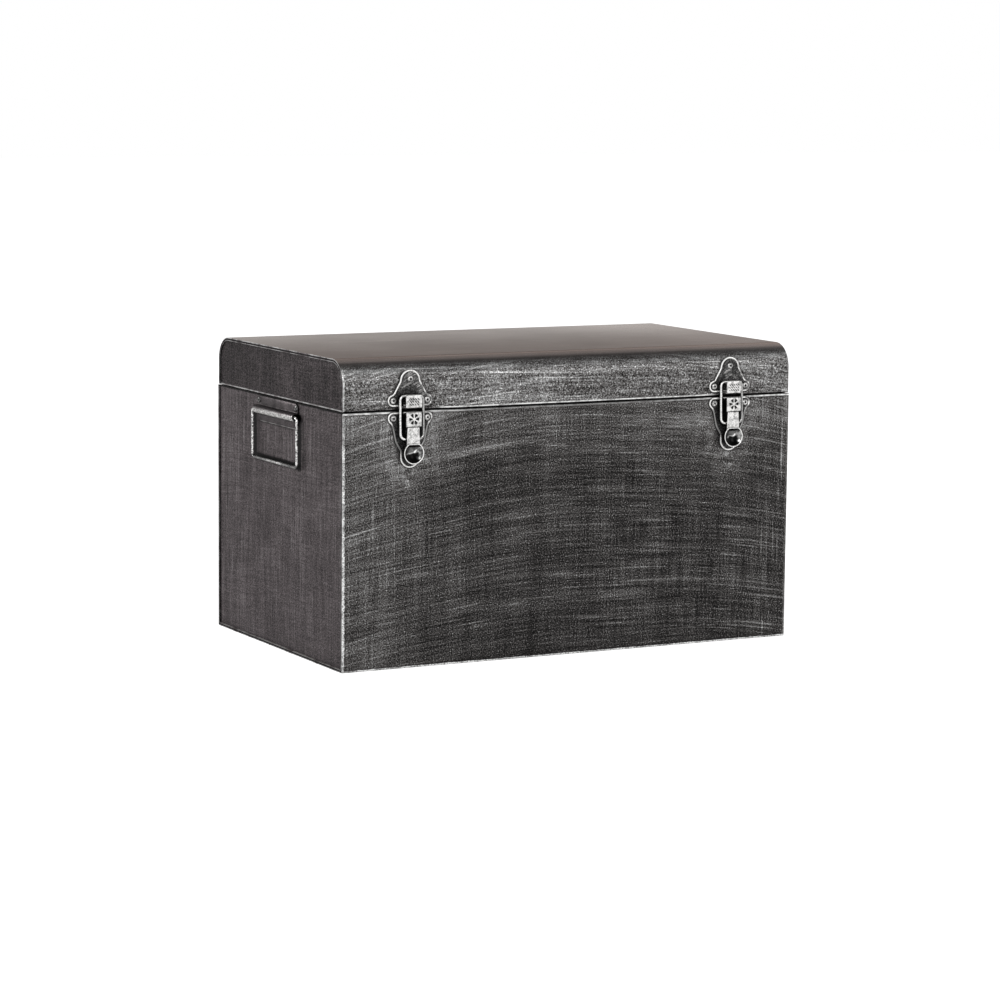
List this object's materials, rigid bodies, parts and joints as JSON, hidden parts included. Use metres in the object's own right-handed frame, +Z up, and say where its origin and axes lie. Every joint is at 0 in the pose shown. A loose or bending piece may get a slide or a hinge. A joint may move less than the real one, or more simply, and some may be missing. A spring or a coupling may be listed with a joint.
{
  "type": "metal storage box",
  "caption": "Sheet metal storage box with a hinged lid, front draw latches and a drop handle on each end, for papers and keepsakes.",
  "frame": {"origin": "centre of the underside", "axes": "+X along the front to the right, +Y to the back, +Z up"},
  "size_m": [0.5132, 0.3233, 0.3],
  "materials": {
    "aged_sheet": "dark antique satin with worn bright edges",
    "worn_fitting": "worn dark steel with bright edges",
    "bright_wire": "worn bright wire",
    "rivet_steel": "worn bright steel"
  },
  "bodies": {
    "body": {"base_wrap": "aged_sheet", "base_left_end": "aged_sheet", "base_right_end": "aged_sheet", "latch_left_plate": "worn_fitting", "latch_left_plate_rivets": "rivet_steel", "latch_left_lever_pin": "rivet_steel", "handle_left_plate": "worn_fitting", "handle_left_plate_rivets": "rivet_steel", "hinge_left_base_leaf": "worn_fitting", "hinge_left_base_rivets": "rivet_steel", "hinge_left_pin": "rivet_steel", "latch_right_plate": "worn_fitting", "latch_right_plate_rivets": "rivet_steel", "latch_right_lever_pin": "rivet_steel", "handle_right_plate": "worn_fitting", "handle_right_plate_rivets": "rivet_steel", "hinge_right_base_leaf": "worn_fitting", "hinge_right_base_rivets": "rivet_steel", "hinge_right_pin": "rivet_steel"},
    "lid": {"lid_wrap": "aged_sheet", "lid_left_end": "aged_sheet", "lid_right_end": "aged_sheet", "latch_left_keeper": "worn_fitting", "latch_left_keeper_rivets": "rivet_steel", "hinge_left_lid_leaf": "worn_fitting", "hinge_left_lid_rivets": "rivet_steel", "latch_right_keeper": "worn_fitting", "latch_right_keeper_rivets": "rivet_steel", "hinge_right_lid_leaf": "worn_fitting", "hinge_right_lid_rivets": "rivet_steel"},
    "lever_left": {"latch_left_lever": "worn_fitting"},
    "latch_bail_left": {"latch_left_bail": "bright_wire"},
    "handle_left": {"handle_left_bail": "bright_wire"},
    "lever_right": {"latch_right_lever": "worn_fitting"},
    "latch_bail_right": {"latch_right_bail": "bright_wire"},
    "handle_right": {"handle_right_bail": "bright_wire"}
  },
  "joints": [
    {"name": "lid_hinge", "type": "hinge", "parent": "body", "child": "lid", "pos_m": [0, 0.15305, 0.2504], "axis": [-1, 0, 0], "range_deg": [0, 110]},
    {"name": "latch_left_lever_pivot", "type": "hinge", "parent": "body", "child": "lever_left", "pos_m": [-0.179, -0.156, 0.246], "axis": [-1, 0, 0], "range_deg": [0, 110]},
    {"name": "latch_left_bail_pivot", "type": "hinge", "parent": "lever_left", "child": "latch_bail_left", "pos_m": [-0.179, -0.155, 0.223], "axis": [-1, 0, 0], "range_deg": [-138, 0]},
    {"name": "handle_left_pivot", "type": "hinge", "parent": "body", "child": "handle_left", "pos_m": [-0.2536, 0, 0.2355], "axis": [0, 1, 0], "range_deg": [0, 180]},
    {"name": "latch_right_lever_pivot", "type": "hinge", "parent": "body", "child": "lever_right", "pos_m": [0.179, -0.156, 0.246], "axis": [-1, 0, 0], "range_deg": [0, 110]},
    {"name": "latch_right_bail_pivot", "type": "hinge", "parent": "lever_right", "child": "latch_bail_right", "pos_m": [0.179, -0.155, 0.223], "axis": [-1, 0, 0], "range_deg": [-138, 0]},
    {"name": "handle_right_pivot", "type": "hinge", "parent": "body", "child": "handle_right", "pos_m": [0.2536, 0, 0.2355], "axis": [0, -1, 0], "range_deg": [0, 180]}
  ],
  "couplings": [
    {"joint": "latch_left_bail_pivot", "follows": "latch_left_lever_pivot", "ratio": -1.25},
    {"joint": "latch_right_bail_pivot", "follows": "latch_right_lever_pivot", "ratio": -1.25}
  ]
}
